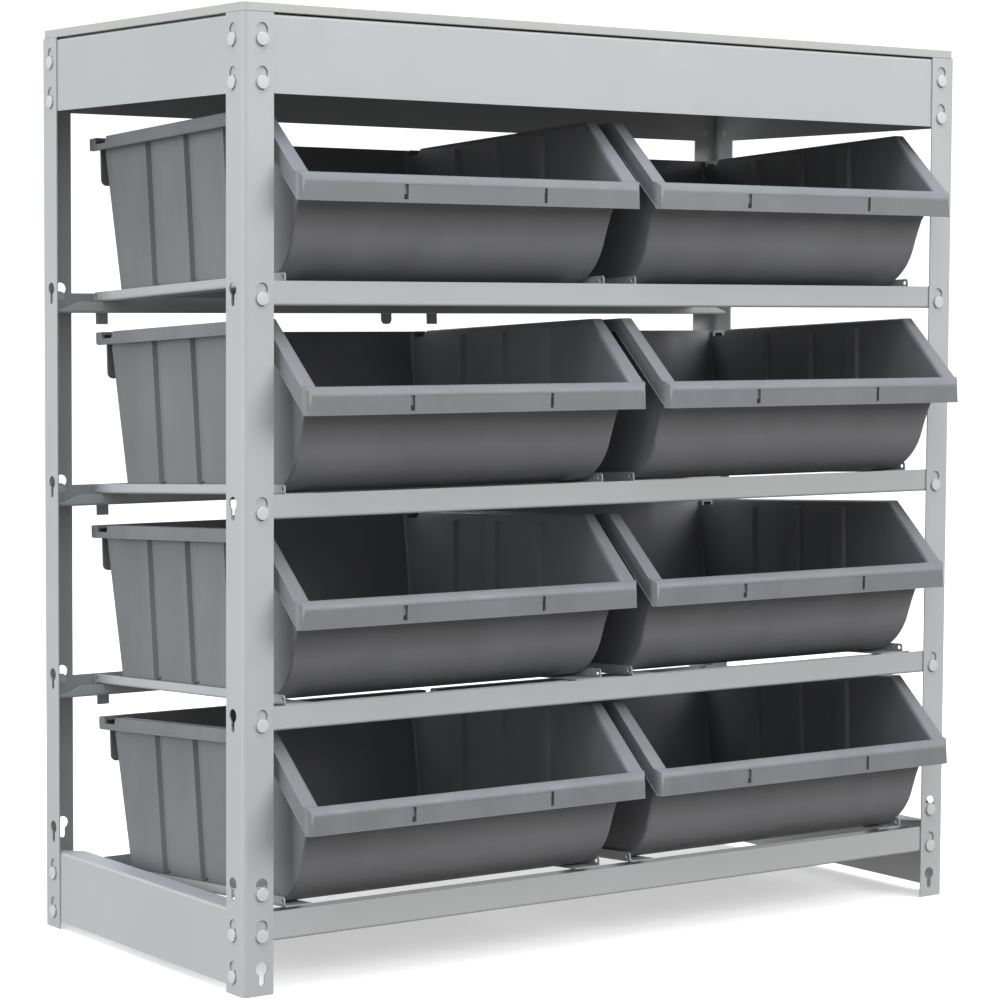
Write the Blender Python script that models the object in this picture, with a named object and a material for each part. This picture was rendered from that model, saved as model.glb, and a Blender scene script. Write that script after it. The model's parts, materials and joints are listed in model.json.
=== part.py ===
"""Boltless steel rack holding eight hopper-front storage bins, two on each of four tiers.

Metres, +Z up, front of the rack towards -Y. The origin is at floor level, in the middle of the
whole object's width and depth. Every bin slides along its own pair of runners, which slope
down towards the back.
"""

import math

import bmesh
import bpy
from mathutils import Matrix, Vector

# Steel frame
WIDTH = 0.855  # outside the posts, left to right
DEPTH = 0.390  # outside the posts, front to back
POST_HEIGHT = 0.878
LEG = 0.031  # each leg of a post's angle section
SHEET = 0.0012  # steel thickness of every folded piece
BEND = 0.0026  # outer radius of the beams' folds
POST_BEND = 0.0050  # outer radius of the posts' corner
GAP = 0.0003  # running gap between pieces that touch

# Keyhole slots, one row every 1.5 inches, and the rows that are punched
PITCH = 0.0381
FIRST_TIP = 0.0091  # lowest slot's bottom tip, above the floor
SLOT_ROWS = (0, 1, 2, 6, 11, 16, 21, 22)
SLOT_INSET = 0.0189  # slot centre line, in from the post's outer corner
SLOT_HEIGHT = 0.0215
SLOT_HEAD_R = 0.0061
SLOT_FOOT_R = 0.0027  # half the width of the straight slot below the head

# Rivets staked into the beams' ends, held in the slots
RIVET_SEAT = 0.0070  # rivet centre above its slot's tip
RIVET_HEAD_R = 0.0060
RIVET_HEAD = 0.0020
RIVET_SHANK_R = 0.0023

# Beams: a web behind the post's leg, then a flange and a lip folded inwards
BEAM_END = 0.0045  # each beam stops this far inside the posts' outer faces
FLANGE = 0.026
FLANGE_START = 0.016  # a tall beam's flange starts here, from the posts' outer faces
FLANGE_FULL = 0.040  # where its chamfered end reaches full depth
LIP_FULL = 0.028  # where a tier beam's lip, cut on the slant, reaches full height
TALL_WEB = 0.0695
TALL_LIP = 0.008
TALL_BELOW_RIVET = 0.0091  # web below a tall beam's lower rivet
FRONT_WEB = 0.0223
BASE_FRONT_WEB = 0.0265
REAR_WEB = 0.0194
BASE_REAR_WEB = 0.0223
FRONT_RISE = 0.0009  # front tier beam's underside above its slot's tip
BASE_FRONT_RISE = 0.0025
REAR_RISE = -0.0084
FRONT_LIP_BELOW_WEB = 0.0027  # a front beam's lip stops this far below the top of its web
REAR_LIP = 0.0113
CONNECTOR_WIDTH = 0.025  # upright end plate that takes the base front beam's second rivet
CONNECTOR_ABOVE_RIVET = 0.0065
TIER_ROWS = (16, 11, 6, 1)  # slot row of each tier's beams, top tier first

BOARD_THICK = 0.008
BOARD_INSET = 0.001
BOARD_CORNER = 0.005

# Runners
RUNNER_FRONT = 0.012  # both ends, measured from the posts' front faces
RUNNER_REAR = 0.377
RUNNER_WEB = 0.030
RUNNER_FLANGE = 0.0094
RUNNER_CORNER = 0.003
RUNNER_HOLE_R = 0.0021
RUNNER_HOLE_IN = 0.0045
TAB_START = 0.004  # hooked tab at the back, measured from the runner's flange
TAB_WIDTH = 0.013
TAB_REACH = 0.005  # past the end of the runner
TAB_DROP = 0.022
TAB_CUT = {"a": 0.001, "b": 0.005}  # cut off the tab's lower corners, by runner
TAB_SLOT_PLAY = 0.0012

# Bins, in each bin's own frame: Y from the front lip to the back, Z up from its underside
BIN_PITCH = 0.3964  # between the two bins of a tier
BIN_HALF_LIP = 0.1915
BIN_HALF_BODY = 0.1745  # at the underside
BIN_DRAFT = 0.164  # share by which the tub widens per metre of height
BIN_HALF_FLANGES = 0.1796  # outer face of each runner's flange from the bin's middle
BIN_WALL = 0.003
BIN_SKIRT = 0.0025
BIN_HEIGHT = 0.1575
BIN_LENGTH = 0.3943
RIM_CORNERS = (0.009, 0.005)  # corner radii seen from above, front and back
LIP_BOTTOM = 0.0685
LIP_TOP = 0.0872
LIP_LEAN = 0.0012  # the lip's foot stands this far behind its top
LIP_INNER = (0.0085, 0.0952)  # inner edge of the lip's rounded top
SLOPE_TOP = 0.071  # where the sloping rim meets the level rim
SIDE_SKIRT = 0.0126
SLOPE_SKIRT_FOOT = (0.008, 0.0725)  # lower edge of the skirt, parallel to the sloping rim
FRONT_WALL = ((0.030, 0.067), (0.041, 0.0385))  # the front wall's straight stretch
FRONT_FOOT_R = 0.060
BACK_FOOT = 0.3665  # the back wall's line, at the underside and at the rim
BACK_TOP = 0.387
BACK_FOOT_R = 0.008
FLUTES = (0.145, 0.219, 0.293)
FLUTE_WIDTH = 0.015
FLUTE_DEPTH = 0.0045
FLUTE_BOTTOM = 0.009
FLUTE_TOP = 0.150
NOTCH = (0.357, 0.379)
NOTCH_DEPTH = 0.006
HANG_LIP_BOTTOM = 0.112
HANG_LIP_INSET = 0.013
HANG_LIP_CORNER = 0.006
LABEL_GROOVES = (0.0762, 0.0818)  # upright groove at each end of the lip's label panel
LABEL_GROOVE_DEPTH = 0.0016
LABEL_MARGIN = 0.0025

# How far each bin's lip stands in front of the posts, top tier first, left bin first
BIN_OUT = ((0.0315, 0.0390), (0.0435, 0.0555), (0.0325, 0.0385), (0.0480, 0.0480))
TIER_NAMES = ("top", "upper", "lower", "base")
BASE_TIER = 3

# The whole object's depth runs from the furthest lip to the rivets at the back
REAR_MOST = DEPTH + GAP + RIVET_HEAD
FRONT_MOST = -max(max(row) for row in BIN_OUT)
Y_SHIFT = -(REAR_MOST + FRONT_MOST) / 2

STEEL = ("powder_coated_steel", (0.55, 0.57, 0.58), 0.45, 0.30)
BOARD = ("grey_laminate_board", (0.53, 0.54, 0.50), 0.55, 0.0)
PLASTIC = ("moulded_grey_plastic", (0.16, 0.16, 0.175), 0.42, 0.0)


def clear_scene():
    for obj in list(bpy.data.objects):
        bpy.data.objects.remove(obj, do_unlink=True)


def material(spec):
    """A new Principled material from (name, colour, roughness, metallic)."""
    name, colour, roughness, metallic = spec
    made = bpy.data.materials.new(name)
    made.use_nodes = True
    shader = made.node_tree.nodes["Principled BSDF"]
    shader.inputs["Base Color"].default_value = (*colour, 1.0)
    shader.inputs["Roughness"].default_value = roughness
    shader.inputs["Metallic"].default_value = metallic
    return made


# Meshes


def arc(centre, radius, start, end, segments):
    """Points on an arc, angles in degrees, ends included."""
    points = []
    for i in range(segments + 1):
        angle = math.radians(start + (end - start) * i / segments)
        points.append((centre[0] + radius * math.cos(angle), centre[1] + radius * math.sin(angle)))
    return points


def placed(axis, along, u, v):
    """A point at `along` on the axis, with u and v on the other two axes in X, Y, Z order."""
    return {"X": (along, u, v), "Y": (u, along, v), "Z": (u, v, along)}[axis]


def prism(outline, axis, low, high):
    """A closed mesh: the outline swept along an axis from low to high."""
    shape = bmesh.new()
    ring = [shape.verts.new(placed(axis, low, u, v)) for u, v in outline]
    face = shape.faces.new(ring)
    swept = bmesh.ops.extrude_face_region(shape, geom=[face])
    moved = [item for item in swept["geom"] if isinstance(item, bmesh.types.BMVert)]
    bmesh.ops.translate(shape, verts=moved, vec=placed(axis, high - low, 0, 0))
    bmesh.ops.recalc_face_normals(shape, faces=shape.faces)
    mesh = bpy.data.meshes.new("prism")
    shape.to_mesh(mesh)
    shape.free()
    return mesh


def box(low, high):
    outline = ((low[0], low[1]), (high[0], low[1]), (high[0], high[1]), (low[0], high[1]))
    return prism(outline, "Z", low[2], high[2])


def joined(meshes):
    """One mesh holding several that don't touch, used as a single cutter."""
    shape = bmesh.new()
    for mesh in meshes:
        shape.from_mesh(mesh)
    result = bpy.data.meshes.new("joined")
    shape.to_mesh(result)
    shape.free()
    return result


def turned(mesh, matrix):
    """A copy of a mesh, moved by a matrix, with its faces still pointing out."""
    copy = mesh.copy()
    copy.transform(matrix)
    if matrix.determinant() < 0:
        copy.flip_normals()
    return copy


def combined(base, steps):
    """The mesh left after a row of Booleans: steps are (operation, mesh)."""
    body = bpy.data.objects.new("body", base)
    bpy.context.scene.collection.objects.link(body)
    helpers = []
    for operation, mesh in steps:
        helper = bpy.data.objects.new("helper", mesh)
        helper.hide_render = True
        helper.display_type = "WIRE"
        bpy.context.scene.collection.objects.link(helper)
        modifier = body.modifiers.new(operation, "BOOLEAN")
        modifier.operation = operation
        modifier.object = helper
        helpers.append(helper)
    bpy.context.view_layer.update()
    graph = bpy.context.evaluated_depsgraph_get()
    result = bpy.data.meshes.new_from_object(body.evaluated_get(graph))
    for obj in [body, *helpers]:
        bpy.data.objects.remove(obj, do_unlink=True)
    return result


def node(name, mesh, spec, place=Matrix.Identity(4)):
    """A named piece of the object with a material of its own."""
    mesh.materials.clear()
    mesh.materials.append(material(spec))
    obj = bpy.data.objects.new(name, mesh)
    bpy.context.scene.collection.objects.link(obj)
    obj.matrix_world = place
    return obj


def folded_section(web, flange, lip):
    """Outline of a sheet folded twice, in (inward, up), with its flange at the bottom.

    The web stands from 0 to `web` at inward 0, the flange runs inwards at height 0 and the lip
    stands up from its far edge.
    """
    inner = BEND - SHEET
    outline = [(0, web), *arc((BEND, BEND), BEND, 180, 270, 2)]
    outline += [*arc((flange - BEND, BEND), BEND, 270, 360, 2), (flange, lip)]
    outline += [(flange - SHEET, lip), *arc((flange - BEND, BEND), inner, 360, 270, 2)]
    outline += [*arc((BEND, BEND), inner, 270, 180, 2), (SHEET, web)]
    return outline


def keyhole_outline():
    """A slot from its tip at height 0, straight-sided up to its round head."""
    head = (0, SLOT_HEIGHT - SLOT_HEAD_R)
    foot = (0, SLOT_FOOT_R)
    start = math.degrees(math.asin(SLOT_FOOT_R / SLOT_HEAD_R)) - 90
    return arc(foot, SLOT_FOOT_R, 180, 360, 3) + arc(head, SLOT_HEAD_R, start, 180 - start, 7)


def slot_tip(row):
    return FIRST_TIP + PITCH * row


# Frame pieces. Each is made for the front left corner, or with its face on the plane Y = 0.


def post_mesh():
    """Angle post with its corner on the Z axis and its legs along +X and +Y."""
    corner = (POST_BEND, POST_BEND)
    outline = [(LEG, 0), (LEG, SHEET), *arc(corner, POST_BEND - SHEET, 270, 180, 4)]
    outline += [(SHEET, LEG), (0, LEG), *arc(corner, POST_BEND, 180, 270, 4)]
    cutters = []
    for row in SLOT_ROWS:
        tip = slot_tip(row)
        slot = [(SLOT_INSET + u, tip + v) for u, v in keyhole_outline()]
        cutters.append(prism(slot, "Y", -SHEET, 2 * SHEET))
        cutters.append(prism(slot, "X", -SHEET, 2 * SHEET))
    body = prism(outline, "Z", 0, POST_HEIGHT)
    return combined(body, [("DIFFERENCE", joined(cutters))])


def rivet_mesh(x, z):
    """Rivet from inside a beam's web through its post's leg, with its head in front of the leg."""
    head_back = -GAP - SHEET - GAP
    head = prism(arc((x, z), RIVET_HEAD_R, 0, 315, 7), "Y", head_back - RIVET_HEAD, head_back)
    shank_front = head_back - RIVET_HEAD / 2
    shank = prism(arc((x, z), RIVET_SHANK_R, 0, 300, 5), "Y", shank_front, SHEET / 2)
    return combined(head, [("UNION", shank)])


def flange_end_cutter(length, low, high):
    """Takes the flange and lip off near both ends, square at the web and then chamfered."""
    half = length / 2 + BEAM_END
    margin = BEND + 0.001
    far = FLANGE + 0.005
    run = FLANGE_FULL - FLANGE_START
    outer = half + 0.005
    tip = half - FLANGE_FULL - run * (far - FLANGE) / (FLANGE - margin)
    right = [(outer, margin), (half - FLANGE_START, margin), (tip, far), (outer, far)]
    left = [(-x, y) for x, y in right]
    return joined([prism(right, "Z", low, high), prism(left, "Z", low, high)])


def bend_end_cutter(length, low, high):
    """Takes the fold itself off beyond the flange's square start, leaving a flat web end."""
    half = length / 2 + BEAM_END
    cutters = []
    for side in (-1, 1):
        near, far = sorted((side * (half - FLANGE_START), side * (half + 0.005)))
        cutters.append(box((near, SHEET, low), (far, BEND + 0.002, high)))
    return joined(cutters)


def lip_end_cutter(length, lip):
    """Takes the lip's corners off on the slant, from its fold at the end up to its full height."""
    end, full = length / 2, length / 2 + BEAM_END - LIP_FULL
    margin = 0.002
    run = (end - full) / (lip - BEND)
    right = [(end + margin, BEND), (end, BEND), (full - run * margin, lip + margin)]
    right.append((end + margin, lip + margin))
    left = [(-x, z) for x, z in right]
    near, far = FLANGE - BEND, FLANGE + margin
    cutters = []
    for outline in (right, left):
        cutters.append(prism(outline, "Y", near, far))
    return joined(cutters)


def beam_mesh(length, web, lip, rivet_heights, connector_top=None, tab_slots=(), flip=False):
    """Beam along X with its web's outer face at Y = 0, its web's underside at Z = 0.

    The flange is at the bottom, or at the top where flip is set. rivet_heights are at both ends.
    """
    section = folded_section(web, FLANGE, lip)
    if flip:
        section = [(u, web - v) for u, v in section]
    body = prism(section, "X", -length / 2, length / 2)
    if flip:
        steps = [("DIFFERENCE", flange_end_cutter(length, web - lip - 0.001, web + 0.001))]
        steps.append(("DIFFERENCE", bend_end_cutter(length, web - BEND - 0.001, web + 0.001)))
    else:
        steps = [("DIFFERENCE", lip_end_cutter(length, lip))]
    if tab_slots:
        slot_low, slot_high = -0.001, SHEET + 0.001
        slots = [box((x0, y0, slot_low), (x1, y1, slot_high)) for x0, x1, y0, y1 in tab_slots]
        steps.append(("DIFFERENCE", joined(slots)))
    for side in (-1, 1):
        end = side * length / 2
        if connector_top:
            near, far = sorted((end, end - side * CONNECTOR_WIDTH))
            steps.append(("UNION", box((near, 0, web - 0.004), (far, SHEET, connector_top))))
        x = side * (length / 2 + BEAM_END - SLOT_INSET)
        steps += [("UNION", rivet_mesh(x, height)) for height in rivet_heights]
    return combined(body, steps)


def runner_mesh(tab_cut):
    """Left-hand runner: flange outer face at X = 0, web to +X, Y along the slope.

    Y = 0 is where the front beam's lip carries it, and Z = 0 is the web's underside. Its tab's
    lower corners are cut off by tab_cut, and there is no tab where that is None.
    """
    front = RUNNER_FRONT - (SHEET + GAP + FLANGE)
    rear = front + (RUNNER_REAR - RUNNER_FRONT)
    corner = RUNNER_CORNER
    top = RUNNER_FLANGE
    outline = [(front, 0), *arc((front + corner, top - corner), corner, 180, 90, 2)]
    outline += [*arc((rear - corner, top - corner), corner, 90, 0, 2), (rear, 0)]
    flange = prism(outline, "X", 0, SHEET)
    web = box((SHEET / 2, front, 0), (RUNNER_WEB, rear, SHEET))
    steps = [("UNION", web)]
    if tab_cut is not None:
        left, right, low = TAB_START, TAB_START + TAB_WIDTH, -TAB_DROP
        tongue = box((left, rear - SHEET, 0), (right, rear + TAB_REACH, SHEET))
        tab_outline = [(left, SHEET), (left, low + tab_cut), (left + tab_cut, low)]
        tab_outline += [(right - tab_cut, low), (right, low + tab_cut), (right, SHEET)]
        tab = prism(tab_outline, "Y", rear + TAB_REACH - SHEET, rear + TAB_REACH)
        steps += [("UNION", tongue), ("UNION", tab)]
    holes = []
    for y in (front + RUNNER_HOLE_IN, rear - RUNNER_HOLE_IN):
        hole = arc((y, top / 2 + SHEET / 2), RUNNER_HOLE_R, 0, 300, 5)
        holes.append(prism(hole, "X", -SHEET, 2 * SHEET))
    steps.append(("DIFFERENCE", joined(holes)))
    return combined(flange, steps)


# Bin


def front_wall_outline(offset):
    """The front wall and its round foot, from the lip down to the floor, moved inwards."""
    top, low = FRONT_WALL
    slope = math.atan2(top[1] - low[1], low[0] - top[0])
    shift = (offset * math.sin(slope), offset * math.cos(slope))
    centre = (low[0] + FRONT_FOOT_R * math.sin(slope), FRONT_FOOT_R)
    start = 180 + math.degrees(math.pi / 2 - slope)
    foot = arc(centre, FRONT_FOOT_R - offset, start, 270, 4)
    return [(top[0] + shift[0], top[1] + shift[1]), *foot]


def back_wall_outline(offset):
    """The back wall and its round foot, from the floor up to the rim, moved inwards."""
    lean = math.atan2(BACK_TOP - BACK_FOOT, BIN_HEIGHT)
    radius = BACK_FOOT_R - offset
    centre_y = BACK_FOOT + BACK_FOOT_R * math.tan(lean) - BACK_FOOT_R / math.cos(lean)
    foot = arc((centre_y, BACK_FOOT_R), radius, 270, 360 - math.degrees(lean), 2)
    return [*foot, (BACK_TOP - offset / math.cos(lean), BIN_HEIGHT)]


def drafted(mesh):
    """A mesh of the tub, made at the underside's width, spread with height by the draft."""
    for vertex in mesh.vertices:
        vertex.co.x *= 1 + BIN_DRAFT * vertex.co.z
    return mesh


def plan_column(inset):
    """Upright column with the rim's rounded corners, a skirt's thickness or nothing inside it."""
    front_r, back_r = (radius - inset for radius in RIM_CORNERS)
    half, front, back = BIN_HALF_LIP - inset, inset - GAP, BIN_LENGTH - inset
    outline = arc((-half + front_r, front + front_r), front_r, 180, 270, 3)
    outline += arc((half - front_r, front + front_r), front_r, 270, 360, 3)
    outline += arc((half - back_r, back - back_r), back_r, 0, 90, 2)
    outline += arc((-half + back_r, back - back_r), back_r, 90, 180, 2)
    return prism(outline, "Z", 0, BIN_HEIGHT + 0.01)


def bin_mesh():
    """Hopper-front bin: tapered tub, sloping sides, downturned rim, hang lip at the back."""
    inner_front = LIP_INNER
    lip_wall = (LIP_INNER[0] - 0.0024, LIP_INNER[1] - 0.0018)
    slope_top = (SLOPE_TOP, BIN_HEIGHT)
    above = BIN_HEIGHT + 0.02

    body = [lip_wall, *front_wall_outline(0), *back_wall_outline(0), slope_top, inner_front]
    cavity = [inner_front, *front_wall_outline(BIN_WALL), *back_wall_outline(BIN_WALL)]
    cavity += [(BACK_TOP - BIN_WALL, above), (inner_front[0], above)]

    skirt_low = BIN_HEIGHT - SIDE_SKIRT
    rim = [(LIP_LEAN, LIP_BOTTOM), (0, LIP_TOP), (0.003, LIP_TOP + 0.0045), inner_front, slope_top]
    rim += [(BIN_LENGTH, BIN_HEIGHT), (BIN_LENGTH, skirt_low)]
    steepness = (BIN_HEIGHT - LIP_INNER[1]) / (SLOPE_TOP - LIP_INNER[0])
    foot_y, foot_z = SLOPE_SKIRT_FOOT
    rim += [(foot_y + (skirt_low - foot_z) / steepness, skirt_low), (foot_y, foot_z)]
    rim += [(foot_y - 0.002, LIP_BOTTOM)]
    below = LIP_BOTTOM - 0.01
    slab = BIN_HEIGHT - BIN_WALL
    hollow = [(LIP_LEAN + BIN_SKIRT, below), (BIN_SKIRT, LIP_TOP - 0.002), (0.0110, LIP_TOP + 0.0045)]
    hollow += [(SLOPE_TOP + 0.0015, slab), (BIN_LENGTH - BIN_SKIRT, slab)]
    hollow += [(BIN_LENGTH - BIN_SKIRT, below)]

    half_inner = BIN_HALF_BODY - BIN_WALL
    half_hollow = BIN_HALF_LIP - BIN_SKIRT
    hollow_block = prism(hollow, "X", -half_hollow, half_hollow)
    under_rim = combined(hollow_block, [("INTERSECT", plan_column(BIN_SKIRT))])
    steps = [("INTERSECT", plan_column(0)), ("DIFFERENCE", under_rim)]
    steps.append(("UNION", drafted(prism(body, "X", -BIN_HALF_BODY, BIN_HALF_BODY))))
    steps.append(("DIFFERENCE", drafted(prism(cavity, "X", -half_inner, half_inner))))

    grooves, ribs = [], []
    for centre in FLUTES:
        near, far = centre - FLUTE_WIDTH / 2, centre + FLUTE_WIDTH / 2
        for side in (-1, 1):
            x0, x1 = sorted((side * (half_inner - FLUTE_DEPTH), side * (half_inner + 0.001)))
            ribs.append(box((x0, near - BIN_WALL, BIN_WALL / 2), (x1, far + BIN_WALL, FLUTE_TOP)))
            x0, x1 = sorted((side * half_inner, side * (BIN_HALF_BODY + 0.002)))
            grooves.append(box((x0, near, FLUTE_BOTTOM), (x1, far, FLUTE_TOP - BIN_WALL)))
    steps.append(("UNION", drafted(joined(ribs))))
    steps.append(("DIFFERENCE", drafted(joined(grooves))))

    half_hang = BIN_HALF_LIP - HANG_LIP_INSET
    corner = HANG_LIP_CORNER
    low = HANG_LIP_BOTTOM
    hang = [(half_hang, skirt_low + 0.004), (-half_hang, skirt_low + 0.004)]
    hang += arc((-half_hang + corner, low + corner), corner, 180, 270, 2)
    hang += arc((half_hang - corner, low + corner), corner, 270, 360, 2)
    steps.append(("UNION", prism(hang, "Y", BIN_LENGTH - BIN_SKIRT, BIN_LENGTH)))

    notch_low = BIN_HEIGHT - NOTCH_DEPTH
    groove_low, groove_high = LIP_BOTTOM + LABEL_MARGIN, LIP_TOP - LABEL_MARGIN
    cuts = []
    for side in (-1, 1):
        x0, x1 = sorted((side * (half_inner - 0.002), side * (BIN_HALF_LIP + 0.002)))
        cuts.append(box((x0, NOTCH[0], notch_low), (x1, NOTCH[1], above)))
        x0, x1 = sorted(side * x for x in LABEL_GROOVES)
        cuts.append(box((x0, -0.002, groove_low), (x1, LABEL_GROOVE_DEPTH, groove_high)))
    steps.append(("DIFFERENCE", joined(cuts)))

    rim_block = prism(rim, "X", -BIN_HALF_LIP, BIN_HALF_LIP)
    return combined(rim_block, steps)


# Assembly


def at(x, y, z):
    return Matrix.Translation(Vector((x, y + Y_SHIFT, z)))


def add_posts():
    mesh = post_mesh()
    for fore, y, turn_y in (("front", 0, 1), ("rear", DEPTH, -1)):
        for side, x, turn_x in (("left", -WIDTH / 2, 1), ("right", WIDTH / 2, -1)):
            flipped = turned(mesh, Matrix.Diagonal((turn_x, turn_y, 1, 1)))
            node(f"post_{fore}_{side}", flipped, STEEL, at(x, y, 0))


def facing(side):
    """Where a beam's web stands for each side of the rack, its outer face just inside the legs."""
    inside = SHEET + GAP
    quarter = math.pi / 2
    return {
        "front": at(0, inside, 0),
        "rear": at(0, DEPTH - inside, 0) @ Matrix.Rotation(math.pi, 4, "Z"),
        "left": at(-WIDTH / 2 + inside, DEPTH / 2, 0) @ Matrix.Rotation(-quarter, 4, "Z"),
        "right": at(WIDTH / 2 - inside, DEPTH / 2, 0) @ Matrix.Rotation(quarter, 4, "Z"),
    }[side]


def raised(place, z):
    return place @ Matrix.Translation(Vector((0, 0, z)))


def add_tall_beams():
    """The four beams under the board, and the two low side beams."""
    heights = (TALL_BELOW_RIVET, TALL_BELOW_RIVET + PITCH)
    for side in ("front", "rear", "left", "right"):
        span = WIDTH if side in ("front", "rear") else DEPTH
        length = span - 2 * BEAM_END
        for place, row in (("top", 21), ("base", 0)):
            if place == "base" and side in ("front", "rear"):
                continue
            mesh = beam_mesh(length, TALL_WEB, TALL_LIP, heights, flip=True)
            z = slot_tip(row) + RIVET_SEAT - TALL_BELOW_RIVET
            node(f"{place}_beam_{side}", mesh, STEEL, raised(facing(side), z))


def tier_bins():
    """Name and middle X of each bin of a tier."""
    return [("left", -BIN_PITCH / 2), ("right", BIN_PITCH / 2)]


def tier_runners():
    """Each runner of a tier: its bin's side, its letter, its flange's X and its web's direction."""
    runners = []
    for side, middle in tier_bins():
        runners.append((side, "a", middle - BIN_HALF_FLANGES, 1))
        runners.append((side, "b", middle + BIN_HALF_FLANGES, -1))
    return runners


def tab_cut(side, letter):
    """Size of a tab's cut corners; the outermost runner on the right has no tab."""
    return None if (side, letter) == ("right", "b") else TAB_CUT[letter]


def tab_slots():
    """The rear beams' slots for the runners' tabs, in the beam's own turned frame."""
    inside = SHEET + GAP
    near = DEPTH - inside - (RUNNER_REAR + TAB_REACH)
    slots = []
    for side, letter, flange, inward in tier_runners():
        if tab_cut(side, letter) is None:
            continue
        ends = sorted((-flange - inward * TAB_START, -flange - inward * (TAB_START + TAB_WIDTH)))
        slots.append((ends[0] - TAB_SLOT_PLAY, ends[1] + TAB_SLOT_PLAY, near - 0.0015, near + 0.0050))
    return slots


def tier_levels(tier):
    """Heights above the floor: front web's underside and top, rear web's underside and top."""
    tip = slot_tip(TIER_ROWS[tier])
    web, rise, rear_web = FRONT_WEB, FRONT_RISE, REAR_WEB
    if tier == BASE_TIER:
        web, rise, rear_web = BASE_FRONT_WEB, BASE_FRONT_RISE, BASE_REAR_WEB
    return tip + rise, tip + rise + web, tip + REAR_RISE, tip + REAR_RISE + rear_web


def add_tier_beams():
    length = WIDTH - 2 * BEAM_END
    for tier, name in enumerate(TIER_NAMES):
        tip = slot_tip(TIER_ROWS[tier])
        front_low, front_top, rear_low, rear_top = tier_levels(tier)
        for side, low, top in (("front", front_low, front_top), ("rear", rear_low, rear_top)):
            web = top - low
            rivets = [tip + RIVET_SEAT - low]
            connector = None
            if tier == BASE_TIER and side == "front":
                rivets.append(rivets[0] + PITCH)
                connector = rivets[1] + CONNECTOR_ABOVE_RIVET
            lip = web - FRONT_LIP_BELOW_WEB if side == "front" else REAR_LIP
            slots = () if side == "front" else tab_slots()
            mesh = beam_mesh(length, web, lip, rivets, connector, slots)
            node(f"{name}_tier_beam_{side}", mesh, STEEL, raised(facing(side), low))


def tier_frame(tier):
    """The sloping frame of a tier's runners: origin on the front beam's lip, Y down the slope."""
    _, front_top, rear_low, _ = tier_levels(tier)
    front_y = SHEET + GAP + FLANGE
    rear_y = DEPTH - SHEET - GAP - FLANGE + SHEET
    front_z = front_top - FRONT_LIP_BELOW_WEB + GAP
    rear_z = rear_low + REAR_LIP + GAP
    angle = math.atan2(front_z - rear_z, rear_y - front_y)
    return at(0, front_y, front_z) @ Matrix.Rotation(-angle, 4, "X"), angle


def add_runners():
    for side, letter, flange, inward in tier_runners():
        mesh = turned(runner_mesh(tab_cut(side, letter)), Matrix.Diagonal((inward, 1, 1, 1)))
        for tier, name in enumerate(TIER_NAMES):
            place = tier_frame(tier)[0] @ Matrix.Translation((flange, 0, 0))
            node(f"runner_{name}_{side}_{letter}", mesh.copy(), STEEL, place)


def add_bins():
    mesh = bin_mesh()
    mesh.shade_smooth()
    mesh.set_sharp_from_angle(angle=math.radians(30))
    front_y = SHEET + GAP + FLANGE
    for tier, name in enumerate(TIER_NAMES):
        frame, angle = tier_frame(tier)
        lift = SHEET + GAP
        for (side, middle), out in zip(tier_bins(), BIN_OUT[tier]):
            top_edge = (lift + LIP_TOP) * math.sin(angle)
            along = (-out - front_y - top_edge) / math.cos(angle)
            place = frame @ Matrix.Translation((middle, along, lift))
            node(f"bin_{name}_{side}", mesh.copy(), PLASTIC, place)


def add_board():
    low, corner = POST_HEIGHT + GAP, BOARD_CORNER
    half, back = WIDTH / 2 - BOARD_INSET, DEPTH - BOARD_INSET
    outline = arc((half - corner, BOARD_INSET + corner), corner, 270, 360, 3)
    outline += arc((half - corner, back - corner), corner, 0, 90, 3)
    outline += arc((corner - half, back - corner), corner, 90, 180, 3)
    outline += arc((corner - half, BOARD_INSET + corner), corner, 180, 270, 3)
    mesh = prism(outline, "Z", low, low + BOARD_THICK)
    node("top_board", mesh, BOARD, at(0, 0, 0))


def main():
    clear_scene()
    add_posts()
    add_tall_beams()
    add_tier_beams()
    add_board()
    add_runners()
    add_bins()


main()
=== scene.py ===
"""Looks of the boltless bin rack: detailed steel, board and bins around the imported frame.

Metres, +Z up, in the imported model's frame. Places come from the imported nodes' boxes and joints.
"""

import json
import math

import bmesh
import bpy
from mathutils import Matrix, Vector

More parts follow.
